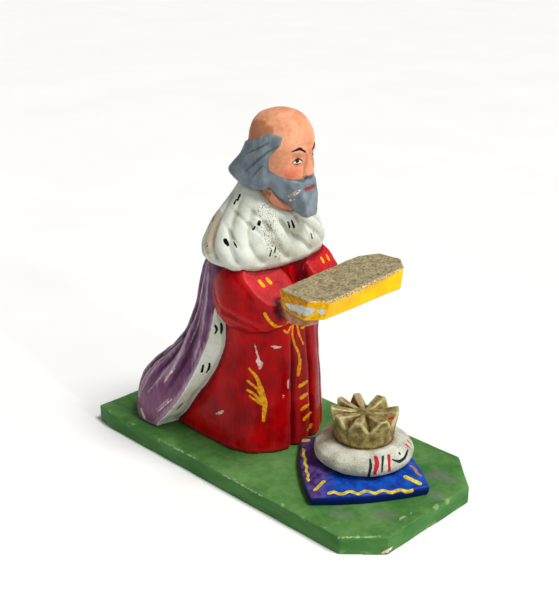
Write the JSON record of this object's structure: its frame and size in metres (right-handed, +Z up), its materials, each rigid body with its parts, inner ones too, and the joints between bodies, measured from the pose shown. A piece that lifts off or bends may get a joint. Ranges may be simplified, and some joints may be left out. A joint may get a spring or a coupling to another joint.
{
  "type": "nativity wise man figurine",
  "caption": "Carved and painted wooden crib figure: a kneeling bearded king offers a casket, with his crowned turban on a cushion before him, all on a green board.",
  "frame": {"origin": "middle of the board's underside", "axes": "+X the way the king faces, along the board's length; +Y to his left; +Z up"},
  "size_m": [0.11, 0.054, 0.1026],
  "materials": {
    "green_paint": "brushed green paint on wood, worn at the edges",
    "robe_red": "glossy crimson paint on carved wood",
    "casket_gold": "yellow paint with a dull gold lid, on wood",
    "cushion_blue": "royal blue paint with yellow strokes, on wood",
    "turban_white": "off-white paint and dull gold crown, on wood"
  },
  "bodies": {
    "root": {"plinth": "green_paint", "king": "robe_red", "casket": "casket_gold", "cushion": "cushion_blue", "crowned_turban": "turban_white"}
  },
  "joints": []
}
